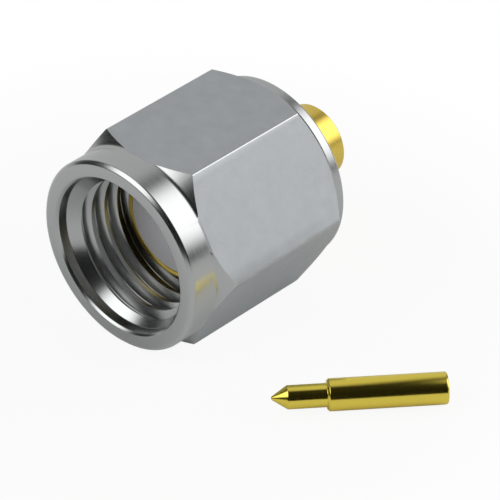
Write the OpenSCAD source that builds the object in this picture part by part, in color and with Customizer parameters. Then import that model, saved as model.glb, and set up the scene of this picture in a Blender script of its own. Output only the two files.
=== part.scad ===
// Male SMA plug for 0.086 inch semi-rigid cable, with its centre contact lying beside it.
// The plug's axis runs along Y: the mating side faces -Y and the cable leaves towards +Y.
// The origin is on that axis, in the mating plane where the two outer contacts meet.
// The plug lies with one flat of its nut downwards, and the loose contact lies on the same surface.
// Sizes are in millimetres.

/* [Coupling nut] */
// Width of the wrench section across its flats
across_flats = 8; // [7.8:0.1:9]
// Overall length of the nut, which also places the ring groove and the barrel under it
nut_length = 8.75; // [8.4:0.05:9.4]
// How far the nut stands ahead of the mating plane when it is fully back
nut_lead = 2.85; // [2.4:0.05:3]
// How far the turned collar round the mouth stands proud of the flats
collar_stand = 0.05; // [0:0.01:0.1]
// Length of the collar, up to the cone of the wrench section
collar_length = 1.35; // [1.2:0.05:1.8]
// Length of the front cone, from the collar to the corners of the hexagon
shoulder_length = 0.5; // [0.3:0.02:0.6]
// Radius of the fillet where the front cone runs into the collar
shoulder_fillet = 0.25; // [0.1:0.05:0.4]
// Length of the rear cone, from the corners of the hexagon to the rear land
rear_cone_length = 0.58; // [0.4:0.02:0.8]
// Length of the turned land between the rear cone and the rear face
rear_land_length = 0.5; // [0.3:0.05:0.7]
// How far that land lies below the flats
rear_land_inset = 0.1; // [0.05:0.01:0.2]
// Chamfer round the rear edge of the land
rear_land_chamfer = 0.1; // [0.05:0.01:0.2]
// Chamfer round the front edge of the collar
collar_chamfer = 0.15; // [0.05:0.01:0.25]

/* [Mouth, thread and rear bore] */
// Radial room round the jack's thread in the counterbore that leads it in
mouth_room = 0.125; // [0.08:0.005:0.2]
// Depth of the counterbore, up to the cone that leads into the thread
mouth_depth = 0.5; // [0.35:0.05:0.9]
// Chamfer at the edge of the mouth
mouth_chamfer = 0.1; // [0.04:0.01:0.15]
// Radial room from the nose to the thread's major diameter, for the jack's threaded shell
shell_room = 0.885; // [0.86:0.005:0.9]
// Depth of the 1/4-36 thread, which is bored plain here at its minor diameter
thread_depth = 0.345; // [0.3:0.005:0.38]
// Length of the thread, from its lead-in cone to the relief
thread_length = 4; // [3.2:0.1:4.3]
// Angle of the lead-in cone, from the plane of the mouth
lead_in_angle = 45; // [25:5:50]
// Length of the relief between thread and rear bore
relief_length = 0.6; // [0.4:0.05:0.7]
// Depth of the relief below the thread's major diameter
relief_depth = 0.075; // [0.03:0.005:0.1]
// Diameter of the rear bore that turns on the barrel
rear_bore_d = 5.5; // [5.3:0.02:5.56]
// Chamfer at the rear edge of the rear bore
rear_bore_chamfer = 0.12; // [0.05:0.01:0.15]

/* [Retaining ring] */
// How far the ring reaches out past the nut's rear bore
ring_reach = 0.3; // [0.2:0.01:0.35]
// Width of the ring's section, across the axis
ring_section = 0.55; // [0.45:0.01:0.6]
// Thickness of the ring, along the axis
ring_thickness = 0.4; // [0.3:0.02:0.44]
// Width of the slot that lets the ring close
ring_slot = 2.1; // [1.5:0.1:2.6]
// How far the nut and its ring float along the body
nut_float = 0.35; // [0.15:0.05:0.4]
// Thickness of the nut's lip behind its ring groove
nut_lip = 0.5; // [0.46:0.02:0.6]
// Thickness of the barrel's flange behind its ring groove
barrel_flange = 0.32; // [0.25:0.01:0.45]

/* [Connector body] */
// Wall of the outer contact's nose, round the insulator's cavity
nose_wall = 0.24; // [0.22:0.01:0.25]
// Distance from the mating plane to the shoulder behind the gasket
nose_length = 2.45; // [2.3:0.05:2.6]
// Chamfer round the front edge of the nose
nose_chamfer = 0.07; // [0.03:0.01:0.1]
// Diameter of the cavity that holds the insulator
cavity_d = 4.1; // [4:0.01:4.12]
// Depth of that cavity
cavity_depth = 4.55; // [4.2:0.05:4.6]
// Thickness of the web between cavity and cable bore
web_thickness = 0.4; // [0.25:0.05:0.7]
// Diameter of the hole through the web, for the cable's dielectric
web_hole_d = 1.7; // [1.65:0.05:1.9]
// Diameter of the bore that the cable is soldered into
cable_bore_d = 2.25; // [2.2:0.01:2.3]
// Outside diameter of the neck
neck_d = 3.1; // [2.9:0.05:3.4]
// Length of the neck behind the barrel
neck_length = 2.75; // [2:0.05:4]
// Chamfer at the outer edge of the neck
neck_chamfer = 0.05; // [0.02:0.01:0.1]
// Chamfer round both ends of the barrel
barrel_chamfer = 0.1; // [0.05:0.01:0.12]

/* [Insulator and gasket] */
// How far the insulator's face lies behind the mating plane
insulator_recess = 0.03; // [0:0.01:0.1]
// Thickness of the gasket
gasket_thickness = 0.75; // [0.6:0.05:0.9]
// How far the gasket's seat tapers in towards the shoulder, so that the gasket stays on it
gasket_taper = 0.08; // [0.04:0.01:0.1]
// How far the gasket stands out round the nose
gasket_stand = 0.36; // [0.25:0.01:0.42]

/* [Centre contact] */
// Diameter of the contact's barrel
contact_d = 1.27; // [1.2:0.01:1.3]
// Length of the contact's barrel
contact_length = 4.64; // [4.2:0.02:5]
// Diameter of the contact's front shank
shank_d = 0.93; // [0.88:0.01:1]
// Length of the straight part of the shank
shank_length = 1.52; // [1.2:0.02:2]
// Length of the pointed end
point_length = 0.62; // [0.4:0.02:0.8]
// Radius of the rounded tip
tip_radius = 0.1; // [0.06:0.01:0.16]
// Chamfer at the barrel's front step
contact_chamfer = 0.08; // [0.03:0.01:0.12]
// Rounding at the barrel's rear edge
contact_rounding = 0.1; // [0.05:0.01:0.15]
// Bore of the solder cup in the contact's rear end
cup_d = 0.56; // [0.5:0.01:0.62]
// Depth of the solder cup
cup_depth = 1.9; // [1:0.05:2.5]
// Where the contact's rear end lies, across the plug's axis
contact_x = 11.8; // [9:0.1:16]
// Where the contact's rear end lies, along the plug's axis
contact_y = 3.1; // [0:0.1:8]
// Turn of the contact from the plug's own direction
contact_turn = -41; // [-60:1:-10]

/* [Clearances] */
// Radial clearance between the nut and the barrel that it turns on
running_gap = 0.07; // [0.03:0.01:0.09]
// Clearance on each side of the ring in a groove
ring_side_gap = 0.03; // [0.01:0.01:0.06]
// Radial clearance between the ring and the floor of a groove
ring_floor_gap = 0.05; // [0.02:0.01:0.08]
// Radial clearance of the insulator in its cavity and of the contact in the insulator
insert_gap = 0.01; // [0.005:0.005:0.03]
// Clearance of the gasket on its seat
gasket_gap = 0.02; // [0.01:0.01:0.04]

/* [Hidden] */
$fn = 96;
steel = [0.64, 0.65, 0.66];
gold = [0.86, 0.70, 0.28];
ptfe = [0.93, 0.92, 0.93];
spring_copper = [0.74, 0.52, 0.32];
silicone = [0.72, 0.32, 0.18];

// A cut runs this far past the face that it opens
past = 0.5;

// Hexagon, and the surface that the nut and the loose contact lie on
corner_d = across_flats / cos(30);
collar_d = across_flats + 2 * collar_stand;
rear_land_d = across_flats - 2 * rear_land_inset;
rest_z = -collar_d / 2;

// Diameters across the coupling: nose, the jack's shell round it, thread and mouth
nose_d = cavity_d + 2 * nose_wall;
thread_major_d = nose_d + 2 * shell_room;
thread_minor_d = thread_major_d - 2 * thread_depth;
mouth_d = thread_major_d + 2 * mouth_room;

// The nut's stations along Y
nut_front = -nut_lead;
nut_rear = nut_front + nut_length;
shoulder_start = nut_front + collar_length;
shoulder_slope = atan2(shoulder_length, (corner_d - collar_d) / 2);
fillet_reach = shoulder_fillet * tan((90 - shoulder_slope) / 2);
fillet_start = shoulder_start - fillet_reach;
land_start = nut_rear - rear_land_length;
thread_start = nut_front + mouth_depth + (mouth_d - thread_minor_d) / 2 * tan(lead_in_angle);
thread_end = thread_start + thread_length;

// The ring sits near the rear wall of the body's groove when the nut is fully back
ring_rear = nut_rear - nut_lip - ring_side_gap;
ring_front = ring_rear - ring_thickness;
ring_od = rear_bore_d + 2 * ring_reach;
nut_groove_d = ring_od + 2 * ring_floor_gap;

// The body's groove is deep enough for the ring to close to the nut's rear bore
body_groove_d = rear_bore_d - 2 * ring_section - 2 * ring_floor_gap;
body_groove_rear = ring_rear + ring_side_gap;
body_groove_front = ring_front - ring_side_gap - nut_float;

// The body's stations and diameters
barrel_d = rear_bore_d - 2 * running_gap;
barrel_rear = body_groove_rear + barrel_flange;
neck_rear = barrel_rear + neck_length;
web_rear = cavity_depth + web_thickness;

// The gasket lies against the shoulder, on a tapered seat cut into the nose
gasket_front = nose_length - gasket_thickness;
gasket_od = nose_d + 2 * gasket_stand;

// Turns a section, drawn as [radius, station along Y], round the Y axis
module turned() rotate([-90, 0, 0]) rotate_extrude() children();

// Half section of a turned step from one station to another, with a chamfer at either end
module step(d, from, to, front = 0, rear = 0)
    polygon([[0, from], [d / 2 - front, from], [d / 2, from + front],
             [d / 2, to - rear], [d / 2 - rear, to], [0, to]]);

// Half section of a bore, flared by a chamfer where it opens
module bore(d, from, to, front = 0, rear = 0) {
    translate([0, from]) square([d / 2, to - from]);
    if (front > 0) flare(d, from, front, -1);
    if (rear > 0) flare(d, to, rear, 1);
}

// Chamfer of a bore's edge at one station: side is -1 where it opens forwards and 1 backwards
module flare(d, station, size, side)
    polygon([[0, station - side * size], [d / 2, station - side * size],
             [d / 2 + size + past, station + side * past], [0, station + side * past]]);

// Half section of a groove between two diameters
module groove(inner_d, outer_d, from, to)
    translate([inner_d / 2, from]) square([(outer_d - inner_d) / 2, to - from]);

// Half section of the nut's outside, as turned from hexagonal bar
module nut_outline()
    difference() {
        union() {
            step(collar_d, nut_front, shoulder_start, collar_chamfer);
            polygon([[0, shoulder_start], [collar_d / 2, shoulder_start],
                     [corner_d / 2, shoulder_start + shoulder_length],
                     [corner_d / 2, land_start - rear_cone_length],
                     [rear_land_d / 2, land_start], [0, land_start]]);
            step(rear_land_d, shoulder_start, nut_rear, 0, rear_land_chamfer);
            // fillet in the corner between collar and cone
            polygon([[collar_d / 2 - past, shoulder_start],
                     [collar_d / 2 - past, fillet_start],
                     [collar_d / 2, fillet_start],
                     [collar_d / 2 + fillet_reach * cos(shoulder_slope),
                      shoulder_start + fillet_reach * sin(shoulder_slope)]]);
        }
        translate([collar_d / 2 + shoulder_fillet, fillet_start]) circle(shoulder_fillet);
    }

module nut_bores() {
    bore(mouth_d, nut_front, nut_front + mouth_depth, mouth_chamfer);
    polygon([[0, nut_front + mouth_depth], [mouth_d / 2, nut_front + mouth_depth],
             [thread_minor_d / 2, thread_start], [0, thread_start]]);
    bore(thread_minor_d, thread_start, thread_end);
    bore(thread_major_d + 2 * relief_depth, thread_end, thread_end + relief_length);
    bore(rear_bore_d, thread_end, nut_rear, 0, rear_bore_chamfer);
    groove(0, nut_groove_d, ring_front - ring_side_gap, ring_rear + ring_side_gap);
}

module coupling_nut() color(steel)
    intersection() {
        turned() difference() {
            nut_outline();
            nut_bores();
        }
        // The flats stop at the collar, which stands just proud of them
        union() {
            translate([0, fillet_start, 0]) rotate([-90, 0, 0])
                cylinder(d = corner_d, h = nut_rear - fillet_start, $fn = 6);
            turned() step(collar_d, nut_front, fillet_start);
        }
    }

module connector_body() color(gold)
    turned() difference() {
        union() {
            step(nose_d, 0, nose_length, nose_chamfer);
            step(barrel_d, nose_length, barrel_rear, barrel_chamfer, barrel_chamfer);
            step(neck_d, barrel_rear - barrel_flange / 2, neck_rear, 0, neck_chamfer);
        }
        bore(cavity_d, -past, cavity_depth);
        bore(web_hole_d, cavity_depth, web_rear);
        bore(cable_bore_d, web_rear, neck_rear, 0, neck_chamfer);
        gasket_section(nose_d + past, 0);
        groove(body_groove_d, barrel_d + past, body_groove_front, body_groove_rear);
    }

module insulator() color(ptfe)
    turned() groove(contact_d + 2 * insert_gap, cavity_d - 2 * insert_gap, insulator_recess, cavity_depth);

module retaining_ring() color(spring_copper)
    difference() {
        turned() groove(ring_od - 2 * ring_section, ring_od, ring_front, ring_rear);
        translate([-ring_slot / 2, ring_front - past, 0])
            cube([ring_slot, ring_thickness + 2 * past, ring_od]);
    }

// Half section of the gasket, from its tapered seat out to a diameter
module gasket_section(outer_d, seat_gap)
    polygon([[nose_d / 2 - gasket_gap + seat_gap, gasket_front], [outer_d / 2, gasket_front],
             [outer_d / 2, nose_length], [nose_d / 2 - gasket_taper + seat_gap, nose_length]]);

module interface_gasket() color(silicone)
    turned() gasket_section(gasket_od, gasket_gap);

// Half section of the contact: its shoulder is at station 0, its point forward and its cup behind
module contact_outline() {
    point_start = -shank_length;
    tip_centre = point_start - point_length + tip_radius;
    cone = atan2((shank_d / 2 - tip_radius), (point_start - tip_centre));
    polygon([[0, tip_centre], [tip_radius * cos(cone), tip_centre - tip_radius * sin(cone)],
             [shank_d / 2, point_start], [shank_d / 2, past], [0, past]]);
    intersection() {
        translate([0, tip_centre]) circle(tip_radius);
        translate([0, tip_centre - tip_radius]) square([tip_radius, 2 * tip_radius]);
    }
    step(contact_d, 0, contact_length - contact_rounding, contact_chamfer);
    step(contact_d - 2 * contact_rounding, 0, contact_length);
    intersection() {
        translate([contact_d / 2 - contact_rounding, contact_length - contact_rounding])
            circle(contact_rounding);
        square([contact_d, contact_length]);
    }
}

module contact_pin() color(gold)
    translate([contact_x, contact_y, rest_z + contact_d / 2])
        rotate([0, 0, contact_turn])
            translate([0, -contact_length, 0])
                turned() difference() {
                    contact_outline();
                    bore(cup_d, contact_length - cup_depth, contact_length + past);
                }

coupling_nut();
connector_body();
insulator();
retaining_ring();
interface_gasket();
contact_pin();
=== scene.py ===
"""Coaxial cable plug with a hexagonal coupling nut, and its loose centre contact.

The solids and the settings below give each piece its place and size. Every turned piece is modelled
again with its rounded edges, the nut with its true coupling thread, and each surface has its own finish.
"""

import math

import bmesh
import bpy
from bpy.props import FloatProperty, FloatVectorProperty, IntProperty, PointerProperty
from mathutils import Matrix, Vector


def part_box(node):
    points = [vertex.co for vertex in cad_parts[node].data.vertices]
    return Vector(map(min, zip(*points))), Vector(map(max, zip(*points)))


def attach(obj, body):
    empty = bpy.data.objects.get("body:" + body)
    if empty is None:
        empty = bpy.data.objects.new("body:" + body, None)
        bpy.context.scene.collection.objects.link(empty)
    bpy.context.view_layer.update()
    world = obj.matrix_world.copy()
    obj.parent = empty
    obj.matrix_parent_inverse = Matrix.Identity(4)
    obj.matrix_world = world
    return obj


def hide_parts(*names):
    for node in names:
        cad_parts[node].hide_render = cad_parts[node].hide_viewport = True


bl_info = {
    "name": "Coaxial cable plug",
    "version": (1, 0, 0),
    "blender": (4, 5, 0),
    "location": "View3D > Sidebar > Cable plug",
    "description": "Models a coaxial cable plug, its loose contact and a plain studio round its solids",
    "category": "Object",
}

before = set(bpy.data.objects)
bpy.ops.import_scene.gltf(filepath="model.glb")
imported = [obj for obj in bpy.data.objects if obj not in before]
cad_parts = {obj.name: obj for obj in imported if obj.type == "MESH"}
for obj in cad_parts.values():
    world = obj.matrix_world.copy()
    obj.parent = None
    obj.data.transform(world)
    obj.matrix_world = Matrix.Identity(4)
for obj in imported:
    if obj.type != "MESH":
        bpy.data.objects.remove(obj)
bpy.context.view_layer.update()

MM = 0.001
WHITE = (1, 1, 1, 1)
SMOOTH_UP_TO = math.radians(22)

# pieces are drawn in millimetres: facets round a turned piece, and how close two corners merge
ROUND_STEPS = 192
SEAM = 1e-4

# the coupling thread: how far it is turned about the axis, and half the angle between its flanks
THREAD_TURN = math.radians(238)
HALF_THREAD_ANGLE = math.radians(30)


def millimetres(length):
    """A length in metres, as the pieces are drawn: one unit to a millimetre."""
    return length / MM


def solid_span(node):
    """The lowest and highest corner of a solid, in millimetres."""
    low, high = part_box(node)
    return low / MM, high / MM


NUT_LOW, NUT_HIGH = solid_span("coupling_nut")
BODY_LOW, BODY_HIGH = solid_span("connector_body")
BEAD_LOW, BEAD_HIGH = solid_span("insulator")
RING_LOW, RING_HIGH = solid_span("retaining_ring")
GASKET_LOW, GASKET_HIGH = solid_span("interface_gasket")


# ---------------------------------------------------------------------------------------------
# Sizes, colours and settings
# ---------------------------------------------------------------------------------------------

def length_setting(name, description, default_mm):
    """A length that a user would change, given here in millimetres."""
    return FloatProperty(name=name, description=description, default=default_mm * MM,
                         min=0, unit="LENGTH", subtype="DISTANCE", precision=6)


def angle_setting(name, description, degrees):
    """An angle that a user would change, given here in degrees."""
    return FloatProperty(name=name, description=description, default=math.radians(degrees),
                         unit="ROTATION", subtype="ANGLE")


def colour_setting(name, description, default):
    """The colour of one finish."""
    return FloatVectorProperty(name=name, description=description, default=default,
                               min=0, max=1, size=3, subtype="COLOR")


def share_setting(name, description, default):
    """A share between none and all."""
    return FloatProperty(name=name, description=description, default=default,
                         min=0, max=1, subtype="FACTOR")


def brightness_setting(name, description, default):
    """The brightness of one part of the room."""
    return FloatProperty(name=name, description=description, default=default, min=0)


class NutSettings(bpy.types.PropertyGroup):
    """Coupling nut"""
    flats: length_setting("Across flats", "Width of the hexagon across its flats", 8.0)
    collar: length_setting("Collar", "Diameter of the turned collar round the mouth", 8.1)
    collar_length: length_setting("Collar length", "From the front face to the front cone", 1.35)
    collar_edge: length_setting("Collar edge", "Chamfer round the front of the collar", 0.15)
    cone_length: length_setting("Front cone", "From the collar to the hexagon's corners", 0.5)
    cone_fillet: length_setting("Cone fillet", "Radius where the front cone meets the collar", 0.25)
    rear_cone_length: length_setting("Rear cone", "From the hexagon's corners to the rear land", 0.58)
    rear_land: length_setting("Rear land", "Diameter of the turned land at the back", 7.8)
    rear_land_length: length_setting("Rear land length", "Length of that land", 0.5)
    rear_land_edge: length_setting("Rear land edge", "Chamfer round the back of the land", 0.1)
    corner_round: length_setting("Corner rounding", "Width of the broken edge along each corner", 0.09)
    mouth: length_setting("Mouth", "Diameter of the counterbore in the mouth", 6.6)
    mouth_depth: length_setting("Mouth depth", "Depth of the counterbore", 0.5)
    mouth_edge: length_setting("Mouth edge", "Chamfer round the mouth", 0.1)
    thread_minor: length_setting("Thread minor", "Minor diameter of the coupling thread", 5.66)
    thread_major: length_setting("Thread major", "Major diameter of the coupling thread", 6.35)
    thread_pitch: length_setting("Thread pitch", "Pitch of the coupling thread, 36 to the inch", 0.7056)
    thread_end: length_setting("Thread end", "Where the thread ends behind the mating plane", 2.12)
    relief: length_setting("Relief", "Diameter of the groove behind the thread", 6.5)
    relief_length: length_setting("Relief length", "Length of that groove", 0.6)
    rear_bore: length_setting("Rear bore", "Diameter of the bore that turns on the body", 5.5)
    rear_bore_edge: length_setting("Rear bore edge", "Chamfer at the back of the rear bore", 0.12)
    ring_groove: length_setting("Ring groove", "Diameter of the groove for the retaining ring", 6.2)
    ring_play: length_setting("Ring play", "Room beside the ring in its groove", 0.03)
    thread_turns: IntProperty(name="Thread turns", description="Whole turns of the thread",
                              default=7, min=3)


class BodySettings(bpy.types.PropertyGroup):
    """Connector body and its insulator"""
    nose: length_setting("Nose", "Outside diameter of the outer contact", 4.58)
    nose_edge: length_setting("Nose edge", "Chamfer round the front of the outer contact", 0.07)
    cavity: length_setting("Cavity", "Diameter of the bore that holds the insulator", 4.1)
    seat_front: length_setting("Seat front", "Where the gasket's seat begins", 1.7)
    shoulder: length_setting("Shoulder", "Where the shoulder behind the gasket lies", 2.45)
    seat_taper: length_setting("Seat taper", "How far the gasket's seat tapers in", 0.08)
    barrel: length_setting("Barrel", "Diameter of the barrel under the nut", 5.36)
    barrel_edge: length_setting("Barrel edge", "Chamfer round both ends of the barrel", 0.1)
    barrel_rear: length_setting("Barrel rear", "Where the barrel ends", 5.72)
    groove: length_setting("Ring groove", "Diameter of the body's own ring groove", 4.3)
    groove_front: length_setting("Groove front", "Front wall of that groove", 4.59)
    groove_rear: length_setting("Groove rear", "Rear wall of that groove", 5.4)
    neck: length_setting("Neck", "Outside diameter of the neck", 3.1)
    neck_edge: length_setting("Neck edge", "Chamfers at the end of the neck", 0.05)
    web_front: length_setting("Web front", "Floor of the insulator's bore", 4.55)
    web_rear: length_setting("Web rear", "Floor of the cable's bore", 4.95)
    web_hole: length_setting("Web hole", "Diameter of the hole through the web", 1.7)
    cable_bore: length_setting("Cable bore", "Diameter of the bore that the cable is soldered into", 2.25)
    insulator_bore: length_setting("Insulator bore", "Diameter of the hole for the contact", 1.29)


class ContactSettings(bpy.types.PropertyGroup):
    """Loose centre contact"""
    barrel: length_setting("Barrel", "Diameter of the contact's barrel", 1.27)
    barrel_length: length_setting("Barrel length", "Length of the barrel", 4.64)
    shank: length_setting("Shank", "Diameter of the front shank", 0.93)
    shank_length: length_setting("Shank length", "Length of the straight shank", 1.52)
    point_length: length_setting("Point length", "Length of the pointed end", 0.62)
    tip_radius: length_setting("Tip radius", "Radius of the rounded tip", 0.1)
    step_edge: length_setting("Step edge", "Chamfer at the barrel's front step", 0.08)
    rear_round: length_setting("Rear rounding", "Rounding at the barrel's rear edge", 0.1)
    cup: length_setting("Solder cup", "Bore of the solder cup", 0.56)
    cup_depth: length_setting("Cup depth", "Depth of the solder cup", 1.9)
    rear_x: length_setting("Rear end, across", "Where the rear end lies across the plug's axis", 11.8)
    rear_y: length_setting("Rear end, along", "Where the rear end lies along the plug's axis", 3.1)
    turn: angle_setting("Turn", "Turn of the contact from the plug's own direction", -41)


class SmallRingSettings(bpy.types.PropertyGroup):
    """Retaining ring and gasket"""
    ring_inner: length_setting("Ring bore", "Inside diameter of the retaining ring", 5.0)
    ring_slot: length_setting("Ring slot", "Width of the slot that lets the ring close", 2.1)
    gasket_play: length_setting("Gasket play", "Clearance of the gasket on its seat", 0.02)
    gasket_round: length_setting("Gasket edges", "Rounding of the gasket's moulded edges", 0.08)


class FinishSettings(bpy.types.PropertyGroup):
    """Colours of the finishes"""
    steel: colour_setting("Steel", "Passivated stainless steel, turned", (0.56, 0.575, 0.57))
    flats: colour_setting("Steel flats", "The same steel on the hexagon's flats", (0.55, 0.575, 0.59))
    gold: colour_setting("Body gold", "Gold plate on the body", (0.94, 0.70, 0.14))
    bright_gold: colour_setting("Contact gold", "Bright gold plate on the contact", (0.98, 0.79, 0.12))
    bead: colour_setting("Insulator", "White, slightly waxy bead", (0.83, 0.83, 0.86))
    spring: colour_setting("Spring copper", "Plain beryllium copper of the ring", (0.62, 0.42, 0.26))
    gasket: colour_setting("Gasket", "Dull moulded silicone rubber", (0.42, 0.12, 0.06))


class StudioSettings(bpy.types.PropertyGroup):
    """Camera, floor and lamps"""
    floor: colour_setting("Floor", "Colour of the floor", (0.90, 0.90, 0.90))
    floor_white: share_setting("White floor", "How far the floor shows plain white", 0.92)
    floor_white_in_metal: share_setting("White floor in metal", "The same where metal mirrors it", 0.10)
    sheet_width: length_setting("Floor width", "Width of the floor across the view", 160)
    sheet_ahead: length_setting("Floor ahead", "How far the floor reaches towards the camera", 24)
    sheet_behind: length_setting("Floor behind", "How far the floor reaches behind the plug", 100)
    room: brightness_setting("Room", "Brightness of the dim room", 0.012)
    key: brightness_setting("Key lamp", "Brightness of the soft lamp behind on the right", 1.9)
    fill: brightness_setting("Fill lamp", "Brightness of the soft lamp in front on the left", 1.9)
    wall: brightness_setting("Back wall", "Brightness of the pale wall behind on the left", 0.57)
    azimuth: angle_setting("Azimuth", "Direction of the camera round the plug", 43.438)
    elevation: angle_setting("Elevation", "Height of the camera above the horizon", 35.337)
    distance: length_setting("Distance", "From the camera to the point it looks at", 149.83)
    lens: FloatProperty(name="Lens", description="Focal length in millimetres", default=276.59, min=1)
    aim_right: length_setting("Aim, right", "Aiming point, to the right of the plug", 2.71)
    aim_down: length_setting("Aim, down", "Aiming point, below the plug", 1.19)
    aim_along: length_setting("Aim, along", "Aiming point, along the plug", 0.65)


def lengths_of(settings):
    """The lengths in a group of settings by name, in millimetres."""
    return {name: millimetres(getattr(settings, name)) for name in settings.__annotations__
            if settings.bl_rna.properties[name].unit == "LENGTH"}


SETTINGS = {
    "plug_nut": NutSettings,
    "plug_body": BodySettings,
    "plug_contact": ContactSettings,
    "plug_small_rings": SmallRingSettings,
    "plug_finish": FinishSettings,
    "plug_studio": StudioSettings,
}


# ---------------------------------------------------------------------------------------------
# Bench work: the few steps that every piece is made with
# ---------------------------------------------------------------------------------------------

def clear_bench():
    """Leaves edit mode and deselects everything."""
    if bpy.context.object and bpy.context.object.mode != "OBJECT":
        bpy.ops.object.mode_set(mode="OBJECT")
    bpy.ops.object.select_all(action="DESELECT")


def take_up(piece):
    """Makes one piece the only selected and active one."""
    clear_bench()
    piece.select_set(True)
    bpy.context.view_layer.objects.active = piece


def pick(kind, test):
    """In edit mode, selects the VERT, EDGE or FACE items that pass a test."""
    bpy.ops.mesh.select_mode(type=kind)
    bpy.ops.mesh.select_all(action="DESELECT")
    mesh = bpy.context.edit_object.data
    drawn = bmesh.from_edit_mesh(mesh)
    items = {"VERT": drawn.verts, "EDGE": drawn.edges, "FACE": drawn.faces}[kind]
    chosen = [item for item in items if test(item)]
    if not chosen:
        raise RuntimeError(f"nothing to select on {bpy.context.edit_object.name}")
    for item in chosen:
        item.select_set(True)
    drawn.select_flush_mode()
    bmesh.update_edit_mesh(mesh)


def near(place):
    """A test for vertices that lie at a place."""
    return lambda vertex: (vertex.co - Vector(place)).length < SEAM


def draw_section(name, corners, closed=True):
    """Draws a section in the plane of the axis, from corners (radius, station[, rounding])."""
    clear_bench()
    bpy.ops.mesh.primitive_plane_add(size=1)
    piece = bpy.context.object
    piece.name = piece.data.name = name
    bpy.ops.object.mode_set(mode="EDIT")
    bpy.ops.mesh.select_mode(type="VERT")
    bpy.ops.mesh.select_all(action="SELECT")
    bpy.ops.mesh.merge(type="CENTER")
    places = [Vector((corner[0], corner[1], 0)) for corner in corners]
    bpy.ops.transform.translate(value=places[0])
    for before, after in zip(places, places[1:]):
        bpy.ops.mesh.extrude_region_move(TRANSFORM_OT_translate={"value": after - before})
    if closed:
        pick("VERT", lambda vertex: near(places[0])(vertex) or near(places[-1])(vertex))
        bpy.ops.mesh.edge_face_add()
    for corner, place in zip(corners, places):
        if len(corner) > 2:
            pick("VERT", near(place))
            bpy.ops.mesh.bevel(offset=corner[2], segments=4, affect="VERTICES", clamp_overlap=True)
    return piece


def turn_on_lathe(name, corners, closed=True):
    """Turns a section round the plug's axis into a solid. An open section ends on the axis."""
    piece = draw_section(name, corners, closed)
    bpy.ops.mesh.select_all(action="SELECT")
    bpy.ops.mesh.spin(steps=ROUND_STEPS, angle=2 * math.pi, center=(0, 0, 0), axis=(0, 1, 0))
    close_up()
    return piece


def close_up():
    """Merges seams and poles, turns every face outwards and leaves edit mode."""
    bpy.ops.mesh.select_all(action="SELECT")
    bpy.ops.mesh.remove_doubles(threshold=SEAM)
    bpy.ops.mesh.normals_make_consistent(inside=False)
    bpy.ops.object.mode_set(mode="OBJECT")


def cut_with(piece, tool, operation="DIFFERENCE"):
    """Cuts a piece with a tool, joins them or keeps what they share, and deletes the tool."""
    take_up(piece)
    bpy.ops.object.modifier_add(type="BOOLEAN")
    cut = piece.modifiers[-1]
    cut.operation = operation
    cut.object = tool
    cut.solver = "EXACT"
    bpy.ops.object.modifier_apply(modifier=cut.name)
    take_up(tool)
    bpy.ops.object.delete()
    take_up(piece)
    bpy.ops.object.mode_set(mode="EDIT")
    close_up()


def finish_piece(piece, body, slot, node, *materials):
    """Brings a piece from millimetres to its real size, and hands it to the body it moves with."""
    take_up(piece)
    piece.scale = (MM, MM, MM)
    bpy.ops.object.transform_apply(location=True, rotation=True, scale=True)
    bpy.ops.object.shade_smooth_by_angle(angle=SMOOTH_UP_TO)
    for material in materials:
        bpy.ops.object.material_slot_add()
        piece.material_slots[-1].material = material
    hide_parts(node)
    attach(piece, body)


def coat_faces(piece, index, test):
    """Gives the faces that pass a test another of the piece's materials."""
    take_up(piece)
    bpy.ops.object.mode_set(mode="EDIT")
    pick("FACE", test)
    piece.active_material_index = index
    bpy.ops.object.material_slot_assign()
    bpy.ops.object.mode_set(mode="OBJECT")


# ---------------------------------------------------------------------------------------------
# Finishes
# ---------------------------------------------------------------------------------------------

def new_group(name, inputs, outputs):
    """A node group with its sockets: inputs are (name, type, default), outputs are (name, type)."""
    group = bpy.data.node_groups.new(name, "ShaderNodeTree")
    for label, kind, default in inputs:
        socket = group.interface.new_socket(label, in_out="INPUT", socket_type=kind)
        if default is not None:
            socket.default_value = default
    for label, kind in outputs:
        group.interface.new_socket(label, in_out="OUTPUT", socket_type=kind)
    return group, group.nodes.new("NodeGroupInput"), group.nodes.new("NodeGroupOutput")


def add_node(tree, kind, values=None, links=None, **settings):
    """Adds a node, sets its fields and socket values, and links sockets into it."""
    node = tree.nodes.new(kind)
    for field, value in settings.items():
        setattr(node, field, value)
    for socket, value in (values or {}).items():
        node.inputs[socket].default_value = value
    for socket, source in (links or {}).items():
        tree.links.new(source, node.inputs[socket])
    return node


def combine(tree, operation, first, second):
    """One value out of two, such as their sum or their product."""
    return add_node(tree, "ShaderNodeMath", links={0: first, 1: second}, operation=operation).outputs[0]


def grain_group():
    """Fine isotropic grain of a blasted or tumbled surface: a height and a patchy mask."""
    group, given, result = new_group(
        "Satin grain",
        [("Vector", "NodeSocketVector", None), ("Scale", "NodeSocketFloat", 7000.0),
         ("Patches", "NodeSocketFloat", 1200.0)],
        [("Height", "NodeSocketFloat"), ("Mask", "NodeSocketFloat")])
    fine = add_node(group, "ShaderNodeTexNoise", {"Detail": 3.0, "Roughness": 0.6},
                    {"Vector": given.outputs["Vector"], "Scale": given.outputs["Scale"]})
    patches = add_node(group, "ShaderNodeTexNoise", {"Detail": 2.0, "Roughness": 0.5},
                       {"Vector": given.outputs["Vector"], "Scale": given.outputs["Patches"]})
    group.links.new(fine.outputs["Fac"], result.inputs["Height"])
    group.links.new(patches.outputs["Fac"], result.inputs["Mask"])
    return group


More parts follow.
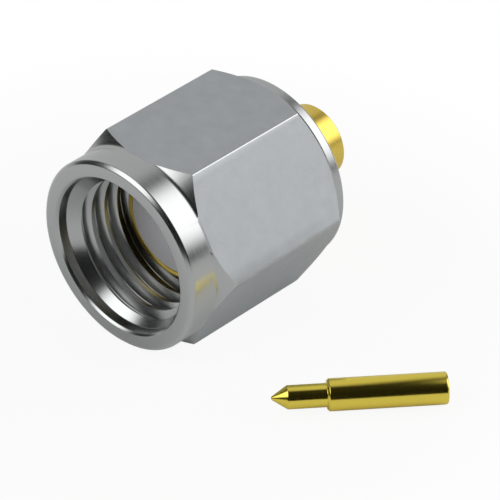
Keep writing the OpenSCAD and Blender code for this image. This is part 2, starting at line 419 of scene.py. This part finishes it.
def turning_group():
    """Marks left by a lathe: rings round the Y axis, closely spaced and uneven."""
    group, given, result = new_group(
        "Turning marks",
        [("Vector", "NodeSocketVector", None), ("Rings", "NodeSocketFloat", 20000.0),
         ("Along the ring", "NodeSocketFloat", 300.0)],
        [("Height", "NodeSocketFloat"), ("Mask", "NodeSocketFloat")])
    parts = add_node(group, "ShaderNodeSeparateXYZ", links={"Vector": given.outputs["Vector"]})
    flat = add_node(group, "ShaderNodeCombineXYZ",
                    links={"X": parts.outputs["X"], "Y": parts.outputs["Z"]})
    radius = add_node(group, "ShaderNodeVectorMath", links={0: flat.outputs["Vector"]},
                      operation="LENGTH")
    # a ring has one station and one radius, so either of them changing makes a new ring
    across = combine(group, "ADD", parts.outputs["Y"], radius.outputs["Value"])
    across = combine(group, "MULTIPLY", across, given.outputs["Rings"])
    slow = add_node(group, "ShaderNodeVectorMath",
                    links={0: flat.outputs["Vector"], "Scale": given.outputs["Along the ring"]},
                    operation="SCALE")
    slow_parts = add_node(group, "ShaderNodeSeparateXYZ", links={"Vector": slow.outputs["Vector"]})
    place = add_node(group, "ShaderNodeCombineXYZ",
                     links={"X": slow_parts.outputs["X"], "Y": slow_parts.outputs["Y"],
                            "Z": across})
    rings = add_node(group, "ShaderNodeTexNoise", {"Scale": 1.0, "Detail": 2.0, "Roughness": 0.7},
                     {"Vector": place.outputs["Vector"]})
    group.links.new(rings.outputs["Fac"], result.inputs["Height"])
    group.links.new(rings.outputs["Fac"], result.inputs["Mask"])
    return group


def shared(name, make):
    """A node group by name, made the first time that a finish needs it."""
    return bpy.data.node_groups.get(name) or make()


def place_group(tree, group, vector, **values):
    """Places a shared effect in a material, with the material's own values."""
    node = tree.nodes.new("ShaderNodeGroup")
    node.node_tree = group
    tree.links.new(vector, node.inputs["Vector"])
    for socket, value in values.items():
        node.inputs[socket.replace("_", " ")].default_value = value
    return node


def new_finish(name, **surface):
    """A material with its surface shader, and the object's own coordinates to draw patterns on."""
    material = bpy.data.materials.new(name)
    material.use_nodes = True
    tree = material.node_tree
    shader = tree.nodes["Principled BSDF"]
    for socket, value in surface.items():
        shader.inputs[socket.replace("_", " ")].default_value = value
    place = tree.nodes.new("ShaderNodeTexCoord").outputs["Object"]
    return material, tree, shader, place


def tone(tree, shader, mask, dark, light):
    """Varies the base colour between two tones."""
    share, first, second, mixed = 0, 6, 7, 2
    mix = add_node(tree, "ShaderNodeMix", {first: (*dark, 1), second: (*light, 1)}, {share: mask},
                   data_type="RGBA")
    tree.links.new(mix.outputs[mixed], shader.inputs["Base Color"])


def vary_roughness(tree, shader, mask, low, high):
    """Varies the roughness between two values."""
    spread = add_node(tree, "ShaderNodeMapRange", {"To Min": low, "To Max": high}, {"Value": mask})
    tree.links.new(spread.outputs["Result"], shader.inputs["Roughness"])


def emboss(tree, shader, height, strength, depth_mm):
    """Raises a height pattern on the surface."""
    bump = add_node(tree, "ShaderNodeBump", {"Strength": strength, "Distance": depth_mm * MM},
                    {"Height": height})
    tree.links.new(bump.outputs["Normal"], shader.inputs["Normal"])


def shade(colour, factor):
    """A lighter or darker shade of a colour."""
    return [channel * factor for channel in colour]


def apply_pattern(tree, shader, pattern, colour, tones, roughness, relief):
    """Varies a finish by a pattern: shades of its colour, its roughness, and a relief (strength, mm)."""
    mask = pattern.outputs["Mask"]
    tone(tree, shader, mask, shade(colour, tones[0]), shade(colour, tones[1]))
    vary_roughness(tree, shader, mask, *roughness)
    emboss(tree, shader, pattern.outputs["Height"], *relief)


def turned_steel(colours):
    """Satin turned stainless steel of the collar, cones and bores."""
    material, tree, shader, place = new_finish("turned_steel", Metallic=1.0)
    marks = place_group(tree, shared("Turning marks", turning_group), place, Rings=26000.0)
    apply_pattern(tree, shader, marks, colours.steel,
                  tones=(0.92, 1.06), roughness=(0.16, 0.30), relief=(0.35, 0.002))
    return material


def grained_steel(colours):
    """Grained stainless steel of the hexagon's flats."""
    material, tree, shader, place = new_finish("grained_steel", Metallic=1.0)
    grain = place_group(tree, shared("Satin grain", grain_group), place, Scale=9000.0, Patches=1600.0)
    apply_pattern(tree, shader, grain, colours.flats,
                  tones=(0.86, 1.10), roughness=(0.38, 0.50), relief=(0.5, 0.006))
    return material


def body_gold(colours):
    """Gold plate over the body's turning marks."""
    material, tree, shader, place = new_finish("body_gold", Metallic=1.0)
    marks = place_group(tree, shared("Turning marks", turning_group), place, Rings=30000.0)
    apply_pattern(tree, shader, marks, colours.gold,
                  tones=(0.90, 1.05), roughness=(0.22, 0.34), relief=(0.3, 0.002))
    return material


def contact_gold(colours, turn, rear):
    """Bright gold plate on the contact, with the marks turned to the contact's own axis."""
    material, tree, shader, place = new_finish("contact_gold", Metallic=1.0)
    own = add_node(tree, "ShaderNodeMapping", {"Location": rear, "Rotation": (0, 0, turn)},
                   {"Vector": place}, vector_type="TEXTURE")
    marks = place_group(tree, shared("Turning marks", turning_group), own.outputs["Vector"],
                        Rings=30000.0)
    apply_pattern(tree, shader, marks, colours.bright_gold,
                  tones=(0.93, 1.03), roughness=(0.12, 0.22), relief=(0.25, 0.002))
    return material


def waxy_bead(colours):
    """White bead, turned, with a faint waxy gloss."""
    material, tree, shader, place = new_finish("waxy_bead", Metallic=0.0)
    marks = place_group(tree, shared("Turning marks", turning_group), place, Rings=14000.0)
    apply_pattern(tree, shader, marks, colours.bead,
                  tones=(0.95, 1.02), roughness=(0.40, 0.55), relief=(0.3, 0.003))
    return material


def spring_copper(colours):
    """Plain rolled beryllium copper."""
    material, tree, shader, place = new_finish("spring_copper", Metallic=1.0)
    grain = place_group(tree, shared("Satin grain", grain_group), place, Scale=5000.0)
    apply_pattern(tree, shader, grain, colours.spring,
                  tones=(0.8, 1.1), roughness=(0.30, 0.45), relief=(0.3, 0.003))
    return material


def moulded_rubber(colours):
    """Dull silicone rubber."""
    material, tree, shader, place = new_finish("moulded_rubber", Metallic=0.0)
    grain = place_group(tree, shared("Satin grain", grain_group), place, Scale=8000.0)
    apply_pattern(tree, shader, grain, colours.gasket,
                  tones=(0.85, 1.1), roughness=(0.60, 0.75), relief=(0.4, 0.004))
    return material


# ---------------------------------------------------------------------------------------------
# Pieces
# ---------------------------------------------------------------------------------------------

class PLUG_OT_coupling_nut(bpy.types.Operator):
    """Turns the coupling nut from hexagonal bar, bores it and cuts its coupling thread"""
    bl_idname = "plug.coupling_nut"
    bl_label = "Coupling nut"

    def execute(self, context):
        sizes = context.scene.plug_nut
        self.size = lengths_of(sizes)
        self.turns = sizes.thread_turns
        nut = self.turned_blank()
        bar = self.hexagonal_bar()
        cut_with(bar, self.collar_guard(), "UNION")
        cut_with(nut, bar, "INTERSECT")
        cut_with(nut, self.tap())
        colours = context.scene.plug_finish
        finish_piece(nut, "nut", "stainless_steel", "coupling_nut",
                     turned_steel(colours), grained_steel(colours))
        flat = self.size["flats"] / 2 * MM
        coat_faces(nut, 1, lambda face: self.on_a_flat(face, flat))
        return {"FINISHED"}

    @staticmethod
    def on_a_flat(face, across):
        """Tells a face of the hexagon by its distance from the axis and its normal."""
        slope_allowed, nearest, depth_allowed = 0.05, across * 0.99, 0.02 * MM
        middle = face.calc_center_median()
        if abs(face.normal.y) > slope_allowed or math.hypot(middle.x, middle.z) < nearest:
            return False
        depth = middle.x * face.normal.x + middle.z * face.normal.z - across
        return abs(depth) < depth_allowed

    def turned_blank(self):
        """The whole section of the nut, outside and bores, turned in one."""
        size = self.size
        front, rear = NUT_LOW.y, NUT_HIGH.y
        corner = size["flats"] / math.sqrt(3)
        collar, mouth, land = size["collar"] / 2, size["mouth"] / 2, size["rear_land"] / 2
        cone_start = front + size["collar_length"]
        thread = size["thread_minor"] / 2
        lead_in = front + size["mouth_depth"]
        relief_rear = size["thread_end"] + size["relief_length"]
        bore, groove = size["rear_bore"] / 2, size["ring_groove"] / 2
        groove_front = RING_LOW.y - size["ring_play"]
        groove_rear = RING_HIGH.y + size["ring_play"]
        collar_edge, land_edge = size["collar_edge"], size["rear_land_edge"]
        bore_edge = size["rear_bore_edge"]
        land_front = rear - size["rear_land_length"]
        cone_rear = land_front - size["rear_cone_length"]
        fine, collar_round, land_round, cone_round = 0.02, 0.04, 0.03, 0.08
        # both cones run on past the hexagon's corners, so that the bar alone ends them
        past = 0.1
        front_run = size["cone_length"] * (corner + past - collar) / (corner - collar)
        rear_run = size["rear_cone_length"] * past / (corner - land)
        return turn_on_lathe("coupling_nut_threaded", [
            (mouth + size["mouth_edge"], front, fine),
            (collar - collar_edge, front, collar_round),
            (collar, front + collar_edge, collar_round),
            (collar, cone_start, self.fillet_reach()),
            (corner + past, cone_start + front_run),
            (corner + past, cone_rear - rear_run),
            (land, land_front, cone_round),
            (land, rear - land_edge, land_round),
            (land - land_edge, rear, land_round),
            (bore + bore_edge, rear, fine),
            (bore, rear - bore_edge, fine),
            (bore, groove_rear),
            (groove, groove_rear),
            (groove, groove_front),
            (bore, groove_front),
            (bore, relief_rear),
            (size["relief"] / 2, relief_rear),
            (size["relief"] / 2, size["thread_end"]),
            (thread, size["thread_end"]),
            (thread, lead_in + mouth - thread),
            (mouth, lead_in, fine),
            (mouth, front + size["mouth_edge"], fine),
        ])

    def fillet_reach(self):
        """How far the fillet between collar and cone reaches along either of them."""
        size = self.size
        rise = (size["flats"] / math.sqrt(3) - size["collar"] / 2) / 2
        slope = math.atan2(size["cone_length"] / 2, rise)
        return size["cone_fillet"] * math.tan((math.pi / 2 - slope) / 2)

    def collar_guard(self):
        """A disc that keeps the flats off the collar, which stands just proud of them."""
        clear_bench()
        ahead, beyond = 1, 0.5
        front = NUT_LOW.y - ahead
        rear = NUT_LOW.y + self.size["collar_length"] - self.fillet_reach()
        bpy.ops.mesh.primitive_cylinder_add(
            vertices=ROUND_STEPS, radius=NUT_HIGH.x + beyond, depth=rear - front,
            location=(0, (front + rear) / 2, 0), rotation=(math.pi / 2, 0, 0))
        guard = bpy.context.object
        bpy.ops.object.transform_apply(location=True, rotation=True, scale=True)
        return guard

    def hexagonal_bar(self):
        """Hexagonal bar with its corners broken, a little longer than the nut."""
        clear_bench()
        spare = 1
        length = NUT_HIGH.y - NUT_LOW.y + spare
        bpy.ops.mesh.primitive_cylinder_add(
            vertices=6, radius=self.size["flats"] / math.sqrt(3), depth=length,
            location=(0, (NUT_HIGH.y + NUT_LOW.y) / 2, 0), rotation=(math.pi / 2, math.pi / 6, 0))
        bar = bpy.context.object
        bpy.ops.object.transform_apply(location=True, rotation=True, scale=True)
        bpy.ops.object.mode_set(mode="EDIT")
        pick("EDGE", lambda edge: abs(edge.verts[0].co.y - edge.verts[1].co.y) > length / 2)
        bpy.ops.mesh.bevel(offset=self.size["corner_round"] / 2, segments=3, affect="EDGES")
        bpy.ops.object.mode_set(mode="OBJECT")
        return bar

    def tap(self):
        """A right-hand helical groove cutter, which starts in the mouth and ends in the relief."""
        size = self.size
        pitch = size["thread_pitch"]
        minor, major = size["thread_minor"] / 2, size["thread_major"] / 2
        # a quarter of the pitch stays uncut between two turns at the minor diameter
        wide = pitch / 2 - pitch / 8
        narrow = wide - (major - minor) * math.tan(HALF_THREAD_ANGLE)
        overhang, root_round = 0.3, 0.03
        end = size["thread_end"] + size["relief_length"] / 2
        start = end - self.turns * pitch
        tap = draw_section("tap", [
            (minor - overhang, start - wide),
            (minor, start - wide),
            (major, start - narrow, root_round),
            (major, start + narrow, root_round),
            (minor, start + wide),
            (minor - overhang, start + wide),
        ])
        bpy.ops.object.mode_set(mode="OBJECT")
        tap.rotation_euler.y = -THREAD_TURN
        bpy.ops.object.transform_apply(rotation=True)
        bpy.ops.object.modifier_add(type="SCREW")
        helix = tap.modifiers[-1]
        helix.axis = "Y"
        helix.screw_offset = pitch
        helix.iterations = self.turns
        helix.steps = helix.render_steps = ROUND_STEPS
        helix.use_merge_vertices = False
        bpy.ops.object.modifier_apply(modifier=helix.name)
        bpy.ops.object.mode_set(mode="EDIT")
        middle = (start + end) / 2
        for side in (-1, 1):
            pick("EDGE", lambda edge: edge.is_boundary
                 and side * (edge.verts[0].co.y - middle) > 0)
            bpy.ops.mesh.edge_face_add()
        close_up()
        return tap


class PLUG_OT_connector_body(bpy.types.Operator):
    """Turns the gold-plated body: outer contact, barrel, ring groove and neck"""
    bl_idname = "plug.connector_body"
    bl_label = "Connector body"

    def execute(self, context):
        size = lengths_of(context.scene.plug_body)
        nose, cavity = size["nose"] / 2, size["cavity"] / 2
        barrel, edge = size["barrel"] / 2, size["barrel_edge"]
        groove, neck = size["groove"] / 2, size["neck"] / 2
        hole, cable = size["web_hole"] / 2, size["cable_bore"] / 2
        front, rear = BODY_LOW.y, BODY_HIGH.y
        neck_edge = size["neck_edge"]
        small, seat_step, neck_fillet = 0.012, 0.02, 0.06
        body = turn_on_lathe("connector_body_turned", [
            (cavity, front, small),
            (nose - size["nose_edge"], front, small),
            (nose, front + size["nose_edge"], small),
            (nose, size["seat_front"]),
            (nose - seat_step, size["seat_front"]),
            (nose - size["seat_taper"], size["shoulder"]),
            (barrel - edge, size["shoulder"], small),
            (barrel, size["shoulder"] + edge, small),
            (barrel, size["groove_front"], small),
            (groove, size["groove_front"]),
            (groove, size["groove_rear"]),
            (barrel, size["groove_rear"], small),
            (barrel, size["barrel_rear"] - edge, small),
            (barrel - edge, size["barrel_rear"], small),
            (neck, size["barrel_rear"], neck_fillet),
            (neck, rear - neck_edge, small),
            (neck - neck_edge, rear, small),
            (cable + neck_edge, rear, small),
            (cable, rear - neck_edge, small),
            (cable, size["web_rear"]),
            (hole, size["web_rear"], small),
            (hole, size["web_front"], small),
            (cavity, size["web_front"]),
        ])
        finish_piece(body, "plug_body", "gold_plate", "connector_body",
                     body_gold(context.scene.plug_finish))
        return {"FINISHED"}


class PLUG_OT_insulator(bpy.types.Operator):
    """Turns the white bead that holds the centre contact"""
    bl_idname = "plug.insulator"
    bl_label = "Insulator"

    def execute(self, context):
        hole = millimetres(context.scene.plug_body.insulator_bore) / 2
        outside, front, rear = BEAD_HIGH.x, BEAD_LOW.y, BEAD_HIGH.y
        hole_round, rim_round = 0.05, 0.04
        bead = turn_on_lathe("insulator_bead", [
            (hole, front, hole_round),
            (outside, front, rim_round),
            (outside, rear, rim_round),
            (hole, rear, hole_round),
        ])
        finish_piece(bead, "plug_body", "ptfe", "insulator", waxy_bead(context.scene.plug_finish))
        return {"FINISHED"}


class PLUG_OT_retaining_ring(bpy.types.Operator):
    """Turns the spring ring that holds the nut, and slots it"""
    bl_idname = "plug.retaining_ring"
    bl_label = "Retaining ring"

    def execute(self, context):
        sizes = context.scene.plug_small_rings
        inside, outside = millimetres(sizes.ring_inner) / 2, RING_HIGH.x
        slot = millimetres(sizes.ring_slot)
        front, rear, edge = RING_LOW.y, RING_HIGH.y, 0.03
        ring = turn_on_lathe("retaining_ring_split", [
            (inside, front, edge), (outside, front, edge), (outside, rear, edge), (inside, rear, edge),
        ])
        clear_bench()
        bpy.ops.mesh.primitive_cube_add(size=1, location=(0, (front + rear) / 2, outside),
                                        scale=(slot, 2 * (rear - front), 2 * outside))
        cutter = bpy.context.object
        bpy.ops.object.transform_apply(location=True, rotation=True, scale=True)
        cut_with(ring, cutter)
        finish_piece(ring, "ring", "spring_copper", "retaining_ring",
                     spring_copper(context.scene.plug_finish))
        return {"FINISHED"}


class PLUG_OT_interface_gasket(bpy.types.Operator):
    """Moulds the gasket that lies against the shoulder"""
    bl_idname = "plug.interface_gasket"
    bl_label = "Interface gasket"

    def execute(self, context):
        rings, body = context.scene.plug_small_rings, context.scene.plug_body
        play, round_edge = millimetres(rings.gasket_play), millimetres(rings.gasket_round)
        nose, taper = millimetres(body.nose) / 2, millimetres(body.seat_taper)
        outside, front, rear = GASKET_HIGH.x, GASKET_LOW.y, GASKET_HIGH.y
        bore_round = 0.03
        gasket = turn_on_lathe("interface_gasket_moulded", [
            (nose, front, bore_round),
            (outside, front, round_edge),
            (outside, rear, round_edge),
            (nose - taper + play, rear, bore_round),
        ])
        finish_piece(gasket, "plug_body", "silicone", "interface_gasket",
                     moulded_rubber(context.scene.plug_finish))
        return {"FINISHED"}


class PLUG_OT_contact_pin(bpy.types.Operator):
    """Turns the loose centre contact and lays it beside the plug"""
    bl_idname = "plug.contact_pin"
    bl_label = "Centre contact"

    def execute(self, context):
        sizes = context.scene.plug_contact
        size = lengths_of(sizes)
        barrel, shank = size["barrel"] / 2, size["shank"] / 2
        length, cup = size["barrel_length"], size["cup"] / 2
        shank_round, step_round, cup_round = 0.02, 0.015, 0.03
        pin = turn_on_lathe("centre_contact", [
            *self.rounded_tip(size),
            (shank, -size["shank_length"], shank_round),
            (shank, 0, shank_round),
            (barrel - size["step_edge"], 0, step_round),
            (barrel, size["step_edge"], step_round),
            (barrel, length, size["rear_round"]),
            (cup, length, cup_round),
            (cup, length - size["cup_depth"]),
            (0, length - size["cup_depth"] + cup / 2),
        ], closed=False)
        rear = Vector((size["rear_x"], size["rear_y"], NUT_LOW.z + barrel))
        pin.rotation_euler.z = sizes.turn
        pin.location = rear - length * Vector((-math.sin(sizes.turn), math.cos(sizes.turn), 0))
        bpy.ops.object.transform_apply(location=True, rotation=True)
        gold = contact_gold(context.scene.plug_finish, sizes.turn, rear * MM)
        finish_piece(pin, "plug_body", "contact_gold", "contact_pin", gold)
        return {"FINISHED"}

    @staticmethod
    def rounded_tip(size):
        """The arc of the tip, from the axis to where the cone leaves it."""
        radius, start = size["tip_radius"], -size["shank_length"]
        centre = start - size["point_length"] + radius
        cone = math.atan2(size["shank"] / 2 - radius, start - centre)
        steps = 5
        turns = [math.pi / 2 - (math.pi / 2 - cone) * step / steps for step in range(steps + 1)]
        return [(radius * math.cos(turn), centre - radius * math.sin(turn)) for turn in turns]


# ---------------------------------------------------------------------------------------------
# Studio
# ---------------------------------------------------------------------------------------------

def towards(azimuth, elevation=0):
    """A direction in the room, in degrees: round from the way the cable points, and up."""
    around, up = math.radians(azimuth), math.radians(elevation)
    return math.sin(around) * math.cos(up), math.cos(around) * math.cos(up), math.sin(up)


def soft_area(tree, direction, centre, dark, full, brightness):
    """Light that grows as a direction nears a centre, from dark to full, both given as cosines."""
    facing = add_node(tree, "ShaderNodeVectorMath", {1: centre}, {0: direction}, operation="DOT_PRODUCT")
    light = add_node(tree, "ShaderNodeMapRange",
                     {"From Min": dark, "From Max": full, "To Min": 0.0, "To Max": brightness},
                     {"Value": facing.outputs["Value"]}, interpolation_type="SMOOTHSTEP")
    return light.outputs["Result"]


class PLUG_OT_studio(bpy.types.Operator):
    """Sets the camera, the pale floor and the room's light"""
    bl_idname = "plug.studio"
    bl_label = "Studio"

    def execute(self, context):
        settings = context.scene.plug_studio
        self.place_camera(context, settings)
        self.lay_floor(settings)
        self.light_room(context, settings)
        context.scene.view_settings.view_transform = "Standard"
        return {"FINISHED"}

    @staticmethod
    def place_camera(context, settings):
        """A long lens, in front on the right and above, aimed between the plug and its contact."""
        around, up = settings.azimuth, settings.elevation
        right = Vector((math.cos(around), math.sin(around), 0))
        back = Vector((math.sin(around) * math.cos(up), -math.cos(around) * math.cos(up), math.sin(up)))
        aim = Vector((0, settings.aim_along, 0)) + settings.aim_right * right
        aim -= settings.aim_down * back.cross(right)
        bpy.ops.object.camera_add(location=aim + settings.distance * back,
                                  rotation=(math.pi / 2 - up, 0, around))
        camera = context.object
        camera.name = "product_camera"
        camera.data.lens = settings.lens
        camera.data.clip_start = MM
        context.scene.camera = camera

    @staticmethod
    def lay_floor(settings):
        """A sheet of pale paper, which fades to plain white away from the plug."""
        clear_bench()
        fade_from, fade_to = 12 * MM, 22 * MM
        length = settings.sheet_ahead + settings.sheet_behind
        around = settings.azimuth
        away = Vector((-math.sin(around), math.cos(around), 0))
        middle = away * (settings.sheet_behind - settings.sheet_ahead) / 2
        middle.z = NUT_LOW.z * MM
        bpy.ops.mesh.primitive_plane_add(size=1, location=middle, rotation=(0, 0, around),
                                         scale=(settings.sheet_width, length, 1))
        floor = bpy.context.object
        floor.name = floor.data.name = "floor"
        bpy.ops.object.mode_set(mode="EDIT")
        bpy.ops.mesh.subdivide(number_cuts=7)
        bpy.ops.object.mode_set(mode="OBJECT")
        bpy.ops.object.transform_apply(location=True, rotation=True, scale=True)
        material, tree, shader, place = new_finish("pale_floor", Roughness=0.9)
        shader.inputs["Specular IOR Level"].default_value = 0.2
        paper = place_group(tree, shared("Satin grain", grain_group), place, Scale=900.0)
        tone(tree, shader, paper.outputs["Mask"], shade(settings.floor, 0.99), settings.floor)
        far = add_node(tree, "ShaderNodeVectorMath", links={0: place}, operation="LENGTH")
        plain = add_node(tree, "ShaderNodeMapRange",
                         {"From Min": fade_from, "From Max": fade_to,
                          "To Min": settings.floor_white, "To Max": 1.0},
                         {"Value": far.outputs["Value"]}, interpolation_type="SMOOTHSTEP")
        ray = tree.nodes.new("ShaderNodeLightPath").outputs
        seen = combine(tree, "MULTIPLY", ray["Is Camera Ray"], plain.outputs["Result"])
        mirrored = combine(tree, "MAXIMUM", ray["Is Glossy Ray"], ray["Is Transmission Ray"])
        share = add_node(tree, "ShaderNodeMath", {1: settings.floor_white_in_metal},
                         {0: mirrored, 2: seen}, operation="MULTIPLY_ADD")
        white = add_node(tree, "ShaderNodeEmission", {"Color": WHITE, "Strength": 1.0})
        mixed = add_node(tree, "ShaderNodeMixShader",
                         links={0: share.outputs[0], 1: shader.outputs["BSDF"],
                                2: white.outputs["Emission"]})
        tree.links.new(mixed.outputs["Shader"], tree.nodes["Material Output"].inputs["Surface"])
        floor.data.materials.append(material)

    def light_room(self, context, settings):
        """A dim room with two large soft lamps and a pale wall behind. The camera sees it white."""
        world = bpy.data.worlds.new("dim_room")
        world.use_nodes = True
        tree = world.node_tree
        room = tree.nodes["Background"]
        direction = tree.nodes.new("ShaderNodeTexCoord").outputs["Generated"]
        key = self.soft_lamp(tree, direction, settings.key, azimuth=41, elevation=38, inner=13, outer=39)
        fill = self.soft_lamp(tree, direction, settings.fill,
                              azimuth=-152, elevation=45, inner=12, outer=32)
        wall = self.pale_wall(tree, direction, settings.wall)
        lit = combine(tree, "ADD", combine(tree, "ADD", key, fill), wall)
        bright = add_node(tree, "ShaderNodeMath", {1: settings.room}, {0: lit}, operation="ADD")
        room.inputs["Color"].default_value = WHITE
        tree.links.new(bright.outputs[0], room.inputs["Strength"])
        ray = tree.nodes.new("ShaderNodeLightPath").outputs
        seen = add_node(tree, "ShaderNodeBackground", {"Color": WHITE, "Strength": 1.0})
        mixed = add_node(tree, "ShaderNodeMixShader",
                         links={0: ray["Is Camera Ray"], 1: room.outputs["Background"],
                                2: seen.outputs["Background"]})
        tree.links.new(mixed.outputs["Shader"], tree.nodes["World Output"].inputs["Surface"])
        context.scene.world = world

    @staticmethod
    def soft_lamp(tree, direction, brightness, azimuth, elevation, inner, outer):
        """A round lamp on the room's dome, full up to the inner angle and dark from the outer one."""
        dark, full = math.cos(math.radians(outer)), math.cos(math.radians(inner))
        return soft_area(tree, direction, towards(azimuth, elevation), dark, full, brightness)

    @staticmethod
    def pale_wall(tree, direction, brightness):
        """A wall where two soft-edged halves of the room meet. It fades towards the zenith."""
        left = soft_area(tree, direction, towards(-105), dark=-0.17, full=0.21, brightness=brightness)
        rear = soft_area(tree, direction, towards(-5), dark=-0.12, full=0.12, brightness=1.0)
        return combine(tree, "MULTIPLY", left, rear)


class VIEW3D_PT_plug(bpy.types.Panel):
    """Lists the plug's pieces and their sizes"""
    bl_label = "Coaxial cable plug"
    bl_space_type = "VIEW_3D"
    bl_region_type = "UI"
    bl_category = "Cable plug"

    def draw(self, context):
        for operator in OPERATORS:
            self.layout.operator(operator.bl_idname)
        for name, group in SETTINGS.items():
            box = self.layout.box()
            box.label(text=group.__doc__)
            for setting in group.__annotations__:
                box.prop(getattr(context.scene, name), setting)


OPERATORS = (PLUG_OT_studio, PLUG_OT_coupling_nut, PLUG_OT_connector_body, PLUG_OT_insulator,
             PLUG_OT_retaining_ring, PLUG_OT_interface_gasket, PLUG_OT_contact_pin)
CLASSES = (*SETTINGS.values(), *OPERATORS, VIEW3D_PT_plug)


def register():
    for item in CLASSES:
        bpy.utils.register_class(item)
    for name, group in SETTINGS.items():
        setattr(bpy.types.Scene, name, PointerProperty(type=group))


def unregister():
    for name in SETTINGS:
        delattr(bpy.types.Scene, name)
    for item in reversed(CLASSES):
        bpy.utils.unregister_class(item)


def main():
    register()
    bpy.ops.plug.studio()
    bpy.ops.plug.coupling_nut()
    bpy.ops.plug.connector_body()
    bpy.ops.plug.insulator()
    bpy.ops.plug.retaining_ring()
    bpy.ops.plug.interface_gasket()
    bpy.ops.plug.contact_pin()
    clear_bench()


if __name__ == "__main__":
    main()
